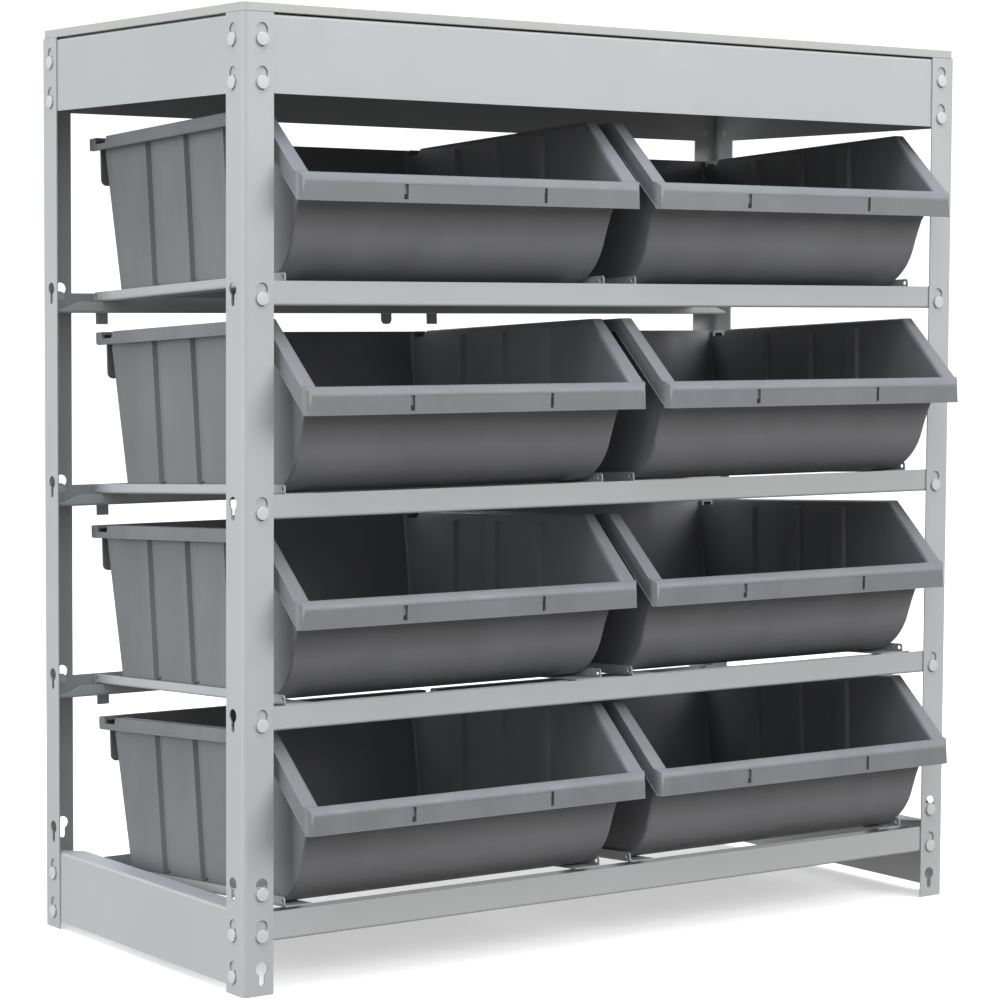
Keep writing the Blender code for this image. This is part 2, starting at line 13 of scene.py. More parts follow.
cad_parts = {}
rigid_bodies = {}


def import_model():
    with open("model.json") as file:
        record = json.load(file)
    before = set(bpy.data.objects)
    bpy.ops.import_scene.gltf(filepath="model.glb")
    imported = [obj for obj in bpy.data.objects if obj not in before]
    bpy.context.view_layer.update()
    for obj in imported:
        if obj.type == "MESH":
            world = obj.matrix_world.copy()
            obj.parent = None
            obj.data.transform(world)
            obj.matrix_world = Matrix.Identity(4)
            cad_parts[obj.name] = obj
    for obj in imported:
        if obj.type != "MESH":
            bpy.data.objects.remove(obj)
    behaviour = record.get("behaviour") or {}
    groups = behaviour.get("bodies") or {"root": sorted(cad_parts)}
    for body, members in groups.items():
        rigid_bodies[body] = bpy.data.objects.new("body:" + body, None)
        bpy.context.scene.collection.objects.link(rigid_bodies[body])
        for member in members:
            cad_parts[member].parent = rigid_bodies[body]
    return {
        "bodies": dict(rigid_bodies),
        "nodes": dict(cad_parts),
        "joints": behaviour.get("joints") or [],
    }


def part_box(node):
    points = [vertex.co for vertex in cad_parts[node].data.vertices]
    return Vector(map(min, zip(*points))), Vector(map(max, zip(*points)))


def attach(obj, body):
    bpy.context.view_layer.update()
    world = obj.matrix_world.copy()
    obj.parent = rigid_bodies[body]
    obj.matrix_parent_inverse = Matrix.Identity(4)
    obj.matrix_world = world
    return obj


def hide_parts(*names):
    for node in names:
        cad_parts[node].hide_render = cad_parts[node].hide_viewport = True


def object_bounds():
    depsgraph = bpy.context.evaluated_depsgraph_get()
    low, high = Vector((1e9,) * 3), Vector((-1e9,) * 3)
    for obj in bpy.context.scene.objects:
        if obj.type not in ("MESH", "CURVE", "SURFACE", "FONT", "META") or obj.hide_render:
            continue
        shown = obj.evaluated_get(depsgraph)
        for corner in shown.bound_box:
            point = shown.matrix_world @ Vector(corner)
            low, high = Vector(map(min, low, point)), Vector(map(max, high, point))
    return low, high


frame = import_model()
cad_low, cad_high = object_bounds()

# Steel sheet
SHEET = 0.0012
BEND = 0.0026  # outer radius of the beams' folds
POST_BEND = 0.0050  # outer radius of the posts' corner
POST_BEND_STEPS = 10
GAP = 0.0003
BEND_STEPS = 7
PAST = 0.001  # how far most cutters reach past what they cut
FAR_PAST = 0.005
TOUCH = 0.0001  # points this close count as touching

# Posts and their keyhole slots
PITCH = 0.0381
FIRST_TIP = 0.0091
SLOT_ROWS = (0, 1, 2, 6, 11, 16, 21, 22)
SLOT_INSET = 0.0189
SLOT_HEIGHT = 0.0215
SLOT_HEAD_R = 0.0061
SLOT_FOOT_R = 0.0027

# Rivets
RIVET_HEAD_R = 0.0060
RIVET_HEAD = 0.0020
RIVET_EDGE_R = 0.0005
RIVET_CROWN = 0.00012  # the middle of the head stands this far in front of its edge
RIVET_CROWN_AT = 0.55  # share of the head's radius where a third of the crown is gone
RIVET_BACK_BEVEL = 0.0002
RIVET_SHANK_R = 0.0023
RIVET_TAIL_R = 0.0038
RIVET_TAIL = 0.0006
RIVET_TAIL_BEVEL = 0.0004
RIVET_SIDES = 36
RIVET_SEAT = 0.0070  # rivet centre above its slot's tip

# Beams
BEAM_END = 0.0045
FLANGE = 0.026
FLANGE_START = 0.016
FLANGE_FULL = 0.040
LIP_FULL = 0.028  # where a tier beam's lip, cut on the slant, reaches full height
TALL_LIP = 0.008
FRONT_WEB = 0.0223
BASE_FRONT_WEB = 0.0265
REAR_WEB = 0.0194
BASE_REAR_WEB = 0.0223
FRONT_LIP_BELOW_WEB = 0.0027
REAR_LIP = 0.0113
CONNECTOR_WIDTH = 0.025
CONNECTOR_CORNER = 0.003
CONNECTOR_OVERLAP = 0.004  # how far the end plate runs down behind the web's top edge
TIER_ROWS = {"top": 16, "upper": 11, "lower": 6, "base": 1}

# Runners
RUNNER_WEB = 0.030
RUNNER_FLANGE = 0.0094
RUNNER_CORNER = 0.003
RUNNER_HOLE_R = 0.0021
RUNNER_HOLE_IN = 0.0045
RUNNER_LENGTH = 0.365
TAB_START = 0.004
TAB_WIDTH = 0.013
TAB_REACH = 0.005
TAB_DROP = 0.022
TAB_CUT = {"a": 0.0008, "b": 0.0050}
TAB_SLOT_PLAY = 0.0012
TAB_SLOT = (0.0015, 0.0050)  # reach of the beam's slot, behind the runner's rear end and ahead of it

# Bins, in each bin's own frame: Y from the front lip to the back, Z up from its underside
BIN_HALF_LIP = 0.1915
BIN_HALF_BODY = 0.1745  # at the underside
BIN_DRAFT = 0.164  # share by which the tub widens per metre of height
BIN_WALL = 0.003
BIN_SKIRT = 0.0025
BIN_HEIGHT = 0.1575
BIN_LENGTH = 0.3943
RIM_CORNERS = (0.009, 0.005)  # corner radii seen from above, front and back
LIP_BOTTOM = 0.0685
LIP_TOP = 0.0857
LIP_LEAN = 0.0012
LIP_ROUND = 0.0095
LIP_CURL = 0.002  # the lip's inner face starts to curl this far below LIP_TOP
LIP_FOOT_STEP = 0.002  # the lip's underside ends this far ahead of the skirt's foot
LIP_WALL_TOP = (0.0020, 0.0022)  # the front wall's top, ahead of and below the mouth's edge
LIP_INNER = (0.0087, 0.0952)
SLOPE_TOP = 0.071
SIDE_SKIRT = 0.0126
SKIRT_CORNER = 0.008  # the skirt's lower back corner, seen from the side
HOLLOW_TOP_STEP = 0.0015  # the hollow under the rim turns level this far behind SLOPE_TOP
FRONT_WALL = ((0.030, 0.067), (0.041, 0.0385))
FRONT_FOOT_R = 0.060
BACK_FOOT = 0.3665
BACK_TOP = 0.387
BACK_FOOT_R = 0.008
CORNER_R = 0.0040  # upright corners at the back
TUB_EDGE_R = 0.0025  # where the tub's sides meet its floor and front, outside
ROOM_EDGE_R = 0.003  # the same, inside
RIM_ROUND = 0.0010
RIM_CREASE = 55  # degrees; the rim's outer edge is sharper than this
MOUTH_ROUND = 0.0040
MOUTH_FACETS = 3
MOUTH_BACK_GAP = 0.004  # the rounded edge ends this far ahead of the back wall's top
FLUTES = (0.145, 0.219, 0.293)
FLUTE_WIDTH = 0.015
FLUTE_DEPTH = 0.0045
FLUTE_DRAFT = 0.0020
FLUTE_BOTTOM = 0.009
FLUTE_TOP = 0.150
FLUTE_OVERLAP = 0.0005  # the flute's rib runs this far into the wall
FLUTE_CUT_PAST = 0.0006
FLUTE_CUT_WIDEN = 0.0004
POCKET = (0.009, 0.0028, 0.0012)  # small moulded pocket in each flute's foot: wide, high, deep
NOTCH = (0.357, 0.379)
NOTCH_DEPTH = 0.0065
NOTCH_INWARD = 0.006  # how far the notch runs in over the side wall
NOTCH_SLANT = (0.002, 0.001)  # lean of its front and back faces
HANG_LIP_BOTTOM = 0.112
HANG_LIP_INSET = 0.013
HANG_LIP_CORNER = 0.006
HANG_LIP_OVERLAP = 0.004  # how far it runs up behind the skirt
HANG_LIP_SUNK = 0.0004  # its face stands this far ahead of the skirt's
SLOPE_SKIRT_FOOT = (0.008, 0.0725)  # lower edge of the skirt, parallel to the sloping rim
LABEL_HALF = 0.0762
LABEL_DEPTH = 0.00015
LABEL_GROOVES = {-1: (0.0044, 0.0022), 1: (0.0031, 0.0023)}  # width and depth at each end
LABEL_LEDGE = 0.0032  # plain strip left below the label
LABEL_BELOW_TOP = 0.0005
LABEL_OVERLAP = 0.0003  # each groove's cutter runs this far into the panel's
BEAD_R = 0.0006  # fine bead along the foot of the lip and the rim's skirt
BEAD_INSET = 0.0005  # the bead's middle line, behind the lip's foot
BEAD_SIDES = 8

# Board
BOARD_EDGE = 0.0006
BOARD_CORNER = 0.005
BOARD_CORNER_STEPS = 8

# Colours
STEEL_GREY = (0.456, 0.463, 0.467)
# the rivets carry the steel's own powder coat; their lighter grey is a painted highlight for the light
# their heads catch
RIVET_GREY_PAINTED_HIGHLIGHT = (0.590, 0.595, 0.600)
BOARD_GREY = (0.462, 0.466, 0.440)
PLASTIC_GREY = (0.180, 0.183, 0.193)

# Stage and light
STAGE_FLAT = 7.0  # radius of the flat floor
STAGE_CURVE = 5.0  # radius of the curve that it rises on
STAGE_SIDES = 64
STAGE_GLOW = 0.45
STAGE_TONES = ((0.86, 0.86, 0.86), (0.84, 0.84, 0.84))
WORLD_BELOW = 0.27
WORLD_ABOVE = 0.95
WARM_BELOW = (1.0, 0.97, 0.92, 1.0)
COOL_ABOVE = (0.94, 0.96, 1.0, 1.0)
HORIZON = (-0.25, 0.45)  # heights between which the room goes from dim to bright
LIGHTS = {  # place, size, watts and colour
    "key": ((3.2, -5.6, 3.3), (4.0, 3.6), 268, (1.0, 0.99, 0.98)),
    "above": ((-0.4, -0.9, 3.6), (2.6, 2.2), 88, (0.85, 0.91, 1.0)),
    "side": ((-3.6, 0.3, 0.6), (2.2, 2.2), 69, (0.96, 0.98, 1.0)),
    "back": ((1.6, 3.0, 3.0), (2.4, 2.0), 25, (1.0, 1.0, 1.0)),
}

# Camera, seeing the front and the left side
CAMERA_PLACE = Vector((-1.78257, -2.47199, 0.62930))
CAMERA_AIM = (math.radians(86.129), math.radians(-0.329), math.radians(-35.317))
CAMERA_LENS = 108.475
CAMERA_SENSOR = 36.0


# Meshes


def arc(centre, radius, start, end, segments):
    """Points on an arc, angles in degrees, ends included."""
    points = []
    for i in range(segments + 1):
        angle = math.radians(start + (end - start) * i / segments)
        points.append((centre[0] + radius * math.cos(angle), centre[1] + radius * math.sin(angle)))
    return points


def placed(axis, along, u, v):
    """A point at `along` on the axis, with u and v on the other two axes in X, Y, Z order."""
    return {"X": (along, u, v), "Y": (u, along, v), "Z": (u, v, along)}[axis]


def mesh_from(shape, name="mesh"):
    """A mesh made of a bmesh, which is freed, with its faces pointing out."""
    bmesh.ops.recalc_face_normals(shape, faces=shape.faces)
    mesh = bpy.data.meshes.new(name)
    shape.to_mesh(mesh)
    shape.free()
    return mesh


def swept(outline, axis, low, high):
    """A bmesh of the outline swept along an axis from low to high."""
    shape = bmesh.new()
    ring = [shape.verts.new(placed(axis, low, u, v)) for u, v in outline]
    face = shape.faces.new(ring)
    made = bmesh.ops.extrude_face_region(shape, geom=[face])
    moved = [item for item in made["geom"] if isinstance(item, bmesh.types.BMVert)]
    bmesh.ops.translate(shape, verts=moved, vec=placed(axis, high - low, 0, 0))
    bmesh.ops.recalc_face_normals(shape, faces=shape.faces)
    return shape


def prism(outline, axis, low, high):
    return mesh_from(swept(outline, axis, low, high))


def box(low, high):
    outline = ((low[0], low[1]), (high[0], low[1]), (high[0], high[1]), (low[0], high[1]))
    return prism(outline, "Z", low[2], high[2])


def soft_prism(outline, half, radius, keep, segments=4):
    """A prism along X from -half to half whose end edges are rounded where keep(y, z) is true."""
    shape = swept(outline, "X", -half, half)
    ends = []
    for edge in shape.edges:
        a, b = edge.verts
        same_end = abs(a.co.x - b.co.x) < half
        if same_end and keep(a.co.y, a.co.z) and keep(b.co.y, b.co.z):
            ends.append(edge)
    bmesh.ops.bevel(
        shape, geom=ends, offset=radius, segments=segments, profile=0.5,
        affect="EDGES", clamp_overlap=False,
    )
    return mesh_from(shape)


def joined(meshes):
    """One mesh holding several."""
    shape = bmesh.new()
    for mesh in meshes:
        shape.from_mesh(mesh)
    result = bpy.data.meshes.new("joined")
    shape.to_mesh(result)
    shape.free()
    return result


def turned(mesh, matrix):
    """A copy of a mesh, moved by a matrix, with its faces still pointing out."""
    copy = mesh.copy()
    copy.transform(matrix)
    if matrix.determinant() < 0:
        copy.flip_normals()
    return copy


def evaluated(body):
    """A mesh of the object with its modifiers applied."""
    bpy.context.view_layer.update()
    graph = bpy.context.evaluated_depsgraph_get()
    return bpy.data.meshes.new_from_object(body.evaluated_get(graph))


def combined(base, steps):
    """The mesh left after a row of Booleans: steps are (operation, mesh)."""
    body = bpy.data.objects.new("body", base)
    bpy.context.scene.collection.objects.link(body)
    helpers = []
    for operation, mesh in steps:
        helper = bpy.data.objects.new("helper", mesh)
        bpy.context.scene.collection.objects.link(helper)
        modifier = body.modifiers.new(operation, "BOOLEAN")
        modifier.operation = operation
        modifier.object = helper
        helpers.append(helper)
    result = evaluated(body)
    for obj in [body, *helpers]:
        bpy.data.objects.remove(obj, do_unlink=True)
    return result


def convex_faces(mesh):
    """Merge vertices that all but touch, then split hollow-sided faces so that none can fold over."""
    shape = bmesh.new()
    shape.from_mesh(mesh)
    bmesh.ops.remove_doubles(shape, verts=shape.verts, dist=0.00003)
    bmesh.ops.dissolve_degenerate(shape, edges=shape.edges, dist=0.00003)
    bmesh.ops.connect_verts_concave(shape, faces=[face for face in shape.faces if len(face.verts) > 4])
    return mesh_from(shape)


def smoothed(mesh, angle=38):
    """Smooth shading that keeps flat faces flat and creases sharp."""
    mesh.shade_smooth()
    mesh.set_sharp_from_angle(angle=math.radians(angle))
    body = bpy.data.objects.new("body", mesh)
    bpy.context.scene.collection.objects.link(body)
    weighted = body.modifiers.new("weighted", "WEIGHTED_NORMAL")
    weighted.keep_sharp = True
    result = evaluated(body)
    bpy.data.objects.remove(body, do_unlink=True)
    return result


# Materials


class Nodes:
    """Small helper around a material's node tree, with its Principled shader."""

    def __init__(self, name, roughness, metallic=0.0, specular=0.5):
        self.material = bpy.data.materials.new(name)
        self.material.use_nodes = True
        self.tree = self.material.node_tree
        self.shader = self.tree.nodes["Principled BSDF"]
        self.shader.inputs["Roughness"].default_value = roughness
        self.shader.inputs["Metallic"].default_value = metallic
        self.shader.inputs["Specular IOR Level"].default_value = specular
        self.place = self.add("ShaderNodeTexCoord").outputs["Object"]

    def add(self, kind, **values):
        made = self.tree.nodes.new(kind)
        for key, value in values.items():
            setattr(made, key, value)
        return made

    def link(self, output, socket):
        self.tree.links.new(output, socket)

    def noise(self, scale, detail=2.0, stretch=(1, 1, 1), roughness=0.5):
        """Noise in object space, from 0 to 1, scale in cells per metre."""
        mapping = self.add("ShaderNodeMapping")
        mapping.inputs["Scale"].default_value = stretch
        self.link(self.place, mapping.inputs["Vector"])
        made = self.add("ShaderNodeTexNoise")
        made.inputs["Scale"].default_value = scale
        made.inputs["Detail"].default_value = detail
        made.inputs["Roughness"].default_value = roughness
        self.link(mapping.outputs["Vector"], made.inputs["Vector"])
        return made.outputs["Fac"]

    def ramp(self, value, low, high, start=0.3, end=0.7):
        """A colour or grey between low and high as value goes from start to end."""
        made = self.add("ShaderNodeMapRange")
        made.inputs["From Min"].default_value = start
        made.inputs["From Max"].default_value = end
        made.inputs["To Min"].default_value = low
        made.inputs["To Max"].default_value = high
        self.link(value, made.inputs["Value"])
        return made.outputs["Result"]

    def blend(self, factor, first, second):
        """Colour mix; first and second are colours or sockets."""
        made = self.add("ShaderNodeMix", data_type="RGBA")
        self.link(factor, made.inputs["Factor"])
        for name, value in (("A", first), ("B", second)):
            socket = [s for s in made.inputs if s.name == name and s.type == "RGBA"][0]
            if isinstance(value, tuple):
                socket.default_value = (*value, 1.0)
            else:
                self.link(value, socket)
        return [s for s in made.outputs if s.type == "RGBA"][0]

    def bump(self, value, distance, strength=1.0, under=None):
        made = self.add("ShaderNodeBump")
        made.inputs["Distance"].default_value = distance
        made.inputs["Strength"].default_value = strength
        self.link(value, made.inputs["Height"])
        if under is not None:
            self.link(under, made.inputs["Normal"])
        return made.outputs["Normal"]

    def finish(self, colour, roughness=None, normal=None):
        self.link(colour, self.shader.inputs["Base Color"])
        if roughness is not None:
            self.link(roughness, self.shader.inputs["Roughness"])
        if normal is not None:
            self.link(normal, self.shader.inputs["Normal"])
        return self.material


def powder_coat(name, colour):
    """Satin powder coat: fine orange peel, faint clouding and slightly uneven gloss."""
    nodes = Nodes(name, 0.45, specular=0.45)
    darker = tuple(c * 0.94 for c in colour)
    clouds = nodes.ramp(nodes.noise(7.0, 3.0), 0.0, 1.0)
    specks = nodes.ramp(nodes.noise(900.0, 1.0), 0.0, 0.5)
    tone = nodes.blend(clouds, colour, darker)
    tone = nodes.blend(specks, tone, tuple(c * 0.97 for c in colour))
    gloss = nodes.ramp(nodes.noise(30.0, 2.0), 0.40, 0.52)
    peel = nodes.bump(nodes.noise(520.0, 2.0), 0.00006, 0.35)
    waves = nodes.bump(nodes.noise(18.0, 1.0), 0.0012, 0.10, under=peel)
    return nodes.finish(tone, gloss, waves)


def moulded_plastic(name, colour):
    """Injection-moulded polypropylene: fine spark grain, flow clouding, drag marks."""
    nodes = Nodes(name, 0.46, specular=0.42)
    lighter = tuple(c * 1.14 for c in colour)
    clouds = nodes.ramp(nodes.noise(9.0, 4.0), 0.0, 1.0)
    flow = nodes.ramp(nodes.noise(26.0, 3.0, stretch=(1.0, 1.0, 0.25)), 0.0, 0.6, 0.42, 0.75)
    tone = nodes.blend(clouds, colour, lighter)
    tone = nodes.blend(flow, tone, tuple(c * 0.90 for c in colour))
    gloss = nodes.ramp(nodes.noise(40.0, 3.0, stretch=(1.0, 1.0, 0.3)), 0.38, 0.56)
    grain = nodes.bump(nodes.noise(1300.0, 2.0), 0.00008, 0.45)
    return nodes.finish(tone, gloss, grain)


def laminate(name, colour):
    """Light grey laminate: fine fleck with a soft sheen."""
    nodes = Nodes(name, 0.5, specular=0.4)
    fleck = nodes.ramp(nodes.noise(900.0, 2.0, stretch=(0.35, 1.0, 1.0)), 0.0, 0.6, 0.45, 0.75)
    clouds = nodes.ramp(nodes.noise(5.0, 3.0), 0.0, 0.6)
    tone = nodes.blend(clouds, colour, tuple(c * 0.95 for c in colour))
    tone = nodes.blend(fleck, tone, tuple(c * 0.90 for c in colour))
    gloss = nodes.ramp(nodes.noise(60.0, 2.0), 0.44, 0.58)
    tooth = nodes.bump(nodes.noise(700.0, 2.0), 0.00005, 0.3)
    return nodes.finish(tone, gloss, tooth)


STEEL = powder_coat("powder_coated_steel", STEEL_GREY)
# same powder coat as the steel, painted lighter: a painted highlight on the rivet heads
RIVET_COAT_PAINTED_HIGHLIGHT = powder_coat("powder_coated_rivet_painted_highlight", RIVET_GREY_PAINTED_HIGHLIGHT)
BOARD = laminate("grey_laminate", BOARD_GREY)
PLASTIC = moulded_plastic("moulded_grey_plastic", PLASTIC_GREY)


def piece(name, mesh, material, place, body, stands_for=()):
    """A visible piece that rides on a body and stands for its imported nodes."""
    mesh = mesh.copy()
    mesh.transform(place)
    mesh.materials.clear()
    mesh.materials.append(material)
    obj = bpy.data.objects.new(name, mesh)
    bpy.context.scene.collection.objects.link(obj)
    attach(obj, body)
    if stands_for:
        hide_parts(*stands_for)
    return obj


# Steel frame

FRONT_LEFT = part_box("post_front_left")
REAR_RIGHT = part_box("post_rear_right")
LEFT, FRONT = FRONT_LEFT[0].x, FRONT_LEFT[0].y
RIGHT, REAR = REAR_RIGHT[1].x, REAR_RIGHT[1].y
POST_LEG = FRONT_LEFT[1].x - LEFT
POST_HEIGHT = FRONT_LEFT[1].z


def slot_tip(row):
    """Height of the lower tip of a row's keyhole slot."""
    return FIRST_TIP + PITCH * row


def keyhole_outline():
    """Narrow round foot below, wide round head above, with the tip at the origin."""
    head = (0, SLOT_HEIGHT - SLOT_HEAD_R)
    foot = (0, SLOT_FOOT_R)
    start = math.degrees(math.asin(SLOT_FOOT_R / SLOT_HEAD_R)) - 90
    return arc(foot, SLOT_FOOT_R, 180, 360, 10) + arc(head, SLOT_HEAD_R, start, 180 - start, 20)


def post_mesh():
    """Angle post with its corner on the Z axis and its legs along +X and +Y."""
    corner, steps = (POST_BEND, POST_BEND), POST_BEND_STEPS
    outline = [(POST_LEG, 0), (POST_LEG, SHEET), *arc(corner, POST_BEND - SHEET, 270, 180, steps)]
    outline += [(SHEET, POST_LEG), (0, POST_LEG), *arc(corner, POST_BEND, 180, 270, steps)]
    cutters = []
    for row in SLOT_ROWS:
        tip = slot_tip(row)
        slot = [(SLOT_INSET + u, tip + v) for u, v in keyhole_outline()]
        cutters.append(prism(slot, "Y", -SHEET, 2 * SHEET))
        cutters.append(prism(slot, "X", -SHEET, 2 * SHEET))
    body = prism(outline, "Z", 0, POST_HEIGHT)
    return smoothed(combined(body, [("DIFFERENCE", joined(cutters))]))


def add_posts():
    mesh = post_mesh()
    for fore, y, turn_y in (("front", FRONT, 1), ("rear", REAR, -1)):
        for side, x, turn_x in (("left", LEFT, 1), ("right", RIGHT, -1)):
            flipped = turned(mesh, Matrix.Diagonal((turn_x, turn_y, 1, 1)))
            node = f"post_{fore}_{side}"
            place = Matrix.Translation((x, y, 0))
            piece(f"{node}_steel", flipped, STEEL, place, "rack", [node])


def folded_section(web, flange, lip):
    """Outline of a sheet folded twice, in (inward, up), with its flange at the bottom."""
    inner = BEND - SHEET
    outline = [(0, web), *arc((BEND, BEND), BEND, 180, 270, BEND_STEPS)]
    outline += [*arc((flange - BEND, BEND), BEND, 270, 360, BEND_STEPS), (flange, lip)]
    outline += [(flange - SHEET, lip), *arc((flange - BEND, BEND), inner, 360, 270, BEND_STEPS)]
    outline += [*arc((BEND, BEND), inner, 270, 180, BEND_STEPS), (SHEET, web)]
    return outline


def lathe(profile, segments, axis_point):
    """A body turned about the Y direction through axis_point; profile is (radius, y)."""
    shape = bmesh.new()
    x, z = axis_point
    rings = []
    for radius, y in profile:
        if radius == 0:
            rings.append([shape.verts.new((x, y, z))])
            continue
        ring = []
        for i in range(segments):
            angle = 2 * math.pi * i / segments
            place = (x + radius * math.cos(angle), y, z + radius * math.sin(angle))
            ring.append(shape.verts.new(place))
        rings.append(ring)
    for first, second in zip(rings, rings[1:]):
        for i in range(segments):
            j = (i + 1) % segments
            corners = [first[i % len(first)], first[j % len(first)]]
            corners += [second[j % len(second)], second[i % len(second)]]
            unique = list(dict.fromkeys(corners))
            shape.faces.new(unique)
    return mesh_from(shape)


def rivet_mesh(x, z):
    """Mushroom-headed rivet staked inside the web at Y = 0, its head in front of the post's leg."""
    back = -GAP - SHEET - GAP
    front = back - RIVET_HEAD
    edge = [(RIVET_HEAD_R - RIVET_EDGE_R + a, front + RIVET_CROWN + RIVET_EDGE_R - b)
            for a, b in arc((0, 0), RIVET_EDGE_R, 90, 0, 4)]
    profile = [(0, front), (RIVET_HEAD_R * RIVET_CROWN_AT, front + RIVET_CROWN / 3), *edge]
    profile += [(RIVET_HEAD_R, back - RIVET_BACK_BEVEL), (RIVET_HEAD_R - RIVET_BACK_BEVEL, back)]
    profile += [(RIVET_SHANK_R, back), (RIVET_SHANK_R, SHEET), (RIVET_TAIL_R, SHEET)]
    profile += [(RIVET_TAIL_R - RIVET_TAIL_BEVEL, SHEET + RIVET_TAIL), (0, SHEET + RIVET_TAIL)]
    return lathe(profile, RIVET_SIDES, (x, z))


def flange_end_cutter(length, low, high):
    """Takes the flange and lip off near both ends, square at the web and then chamfered."""
    half = length / 2 + BEAM_END
    margin = BEND + PAST
    far = FLANGE + FAR_PAST
    run = FLANGE_FULL - FLANGE_START
    outer = half + FAR_PAST
    tip = half - FLANGE_FULL - run * (far - FLANGE) / (FLANGE - margin)
    right = [(outer, margin), (half - FLANGE_START, margin), (tip, far), (outer, far)]
    left = [(-x, y) for x, y in right]
    return joined([prism(right, "Z", low, high), prism(left, "Z", low, high)])


def bend_end_cutter(length, low, high):
    """Takes the fold itself off beyond the flange's square start, leaving a flat web end."""
    half = length / 2 + BEAM_END
    cutters = []
    for side in (-1, 1):
        near, far = sorted((side * (half - FLANGE_START), side * (half + FAR_PAST)))
        cutters.append(box((near, SHEET, low), (far, BEND + 2 * PAST, high)))
    return joined(cutters)


def lip_end_cutter(length, lip):
    """Takes the lip's corners off on the slant, from its fold at the end up to its full height."""
    end, full = length / 2, length / 2 + BEAM_END - LIP_FULL
    margin = 2 * PAST
    run = (end - full) / (lip - BEND)
    right = [(end + margin, BEND), (end, BEND), (full - run * margin, lip + margin)]
    right.append((end + margin, lip + margin))
    left = [(-x, z) for x, z in right]
    near, far = FLANGE - BEND, FLANGE + margin
    return joined([prism(right, "Y", near, far), prism(left, "Y", near, far)])


def beam_mesh(length, web, lip, connector_top=None, tab_slots=(), flip=False):
    """Beam along X with its web's outer face at Y = 0 and its web's underside at Z = 0."""
    section = folded_section(web, FLANGE, lip)
    if flip:
        section = [(u, web - v) for u, v in section]
    body = prism(section, "X", -length / 2, length / 2)
    if flip:
        steps = [("DIFFERENCE", flange_end_cutter(length, web - lip - PAST, web + PAST))]
        steps.append(("DIFFERENCE", bend_end_cutter(length, web - BEND - PAST, web + PAST)))
    else:
        steps = [("DIFFERENCE", lip_end_cutter(length, lip))]
    if tab_slots:
        slots = [box((x0, y0, -PAST), (x1, y1, SHEET + PAST)) for x0, x1, y0, y1 in tab_slots]
        steps.append(("DIFFERENCE", joined(slots)))
    if connector_top:
        for side in (-1, 1):
            near, far = sorted((side * length / 2, side * (length / 2 - CONNECTOR_WIDTH)))
            corner = CONNECTOR_CORNER
            outline = [(near, web - CONNECTOR_OVERLAP), (far, web - CONNECTOR_OVERLAP)]
            outline += arc((far - corner, connector_top - corner), corner, 0, 90, 5)
            outline += arc((near + corner, connector_top - corner), corner, 90, 180, 5)
            steps.append(("UNION", prism(outline, "Y", 0, SHEET)))
    return smoothed(combined(body, steps))


def facing(side, z):
    """Where a beam's web stands for each side of the rack, its outer face just inside the legs."""
    inside = SHEET + GAP
    middle_y = (FRONT + REAR) / 2
    at, turn = {
        "front": ((0, FRONT + inside), 0),
        "rear": ((0, REAR - inside), 180),
        "left": ((LEFT + inside, middle_y), -90),
        "right": ((RIGHT - inside, middle_y), 90),
    }[side]
    return Matrix.Translation((*at, z)) @ Matrix.Rotation(math.radians(turn), 4, "Z")


def add_beam(node, side, mesh, length, rivet_heights):
    """A beam with its rivets; rivet_heights are above the floor, the same at both ends."""
    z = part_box(node)[0].z
    place = facing(side, z)
    piece(f"{node}_steel", mesh, STEEL, place, "rack", [node])
    rivets = []
    for end in (-1, 1):
        x = end * (length / 2 + BEAM_END - SLOT_INSET)
        rivets += [rivet_mesh(x, height - z) for height in rivet_heights]
    name = f"{node}_rivets"
    piece(name, smoothed(joined(rivets)), RIVET_COAT_PAINTED_HIGHLIGHT, place, "rack", [node])


def rivet_rows(*rows):
    return [slot_tip(row) + RIVET_SEAT for row in rows]


def add_tall_beams():
    for side in ("front", "rear", "left", "right"):
        for level, rows in (("top", (21, 22)), ("base", (0, 1))):
            node = f"{level}_beam_{side}"
            if node not in frame["nodes"]:
                continue
            low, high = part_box(node)
            span = RIGHT - LEFT if side in ("front", "rear") else REAR - FRONT
            length = span - 2 * BEAM_END
            mesh = beam_mesh(length, high.z - low.z, TALL_LIP, flip=True)
            add_beam(node, side, mesh, length, rivet_rows(*rows))


def runner_nodes():
    return sorted(name for name in frame["nodes"] if name.startswith("runner_"))


def tab_cut(name):
    """Rounding of a runner's tab; the outermost runner on the right has no tab."""
    return None if name.endswith("right_b") else TAB_CUT[name[-1]]


def tab_slots():
    """The rear beams' slots for the runners' tabs, in the beam's own turned frame."""
    inside = SHEET + GAP
    slots = []
    for name in runner_nodes():
        if not name.startswith("runner_top") or tab_cut(name) is None:
            continue
        low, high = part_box(name)
        tab_y = REAR - inside - high.y
        if name.endswith("_a"):
            start, end = low.x + TAB_START, low.x + TAB_START + TAB_WIDTH
        else:
            start, end = high.x - TAB_START - TAB_WIDTH, high.x - TAB_START
        x0, x1 = -end - TAB_SLOT_PLAY, -start + TAB_SLOT_PLAY
        slots.append((x0, x1, tab_y - TAB_SLOT[0], tab_y + TAB_SLOT[1]))
    return slots


def add_tier_beams():
    length = RIGHT - LEFT - 2 * BEAM_END
    for tier, row in TIER_ROWS.items():
        for side in ("front", "rear"):
            node = f"{tier}_tier_beam_{side}"
            web = FRONT_WEB if side == "front" else REAR_WEB
            rows, connector = (row,), None
            if tier == "base":
                web = BASE_FRONT_WEB if side == "front" else BASE_REAR_WEB
            if tier == "base" and side == "front":
                low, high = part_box(node)
                rows, connector = (row, row + 1), high.z - low.z
            lip = web - FRONT_LIP_BELOW_WEB if side == "front" else REAR_LIP
            slots = () if side == "front" else tab_slots()
            mesh = beam_mesh(length, web, lip, connector, slots)
            add_beam(node, side, mesh, length, rivet_rows(*rows))


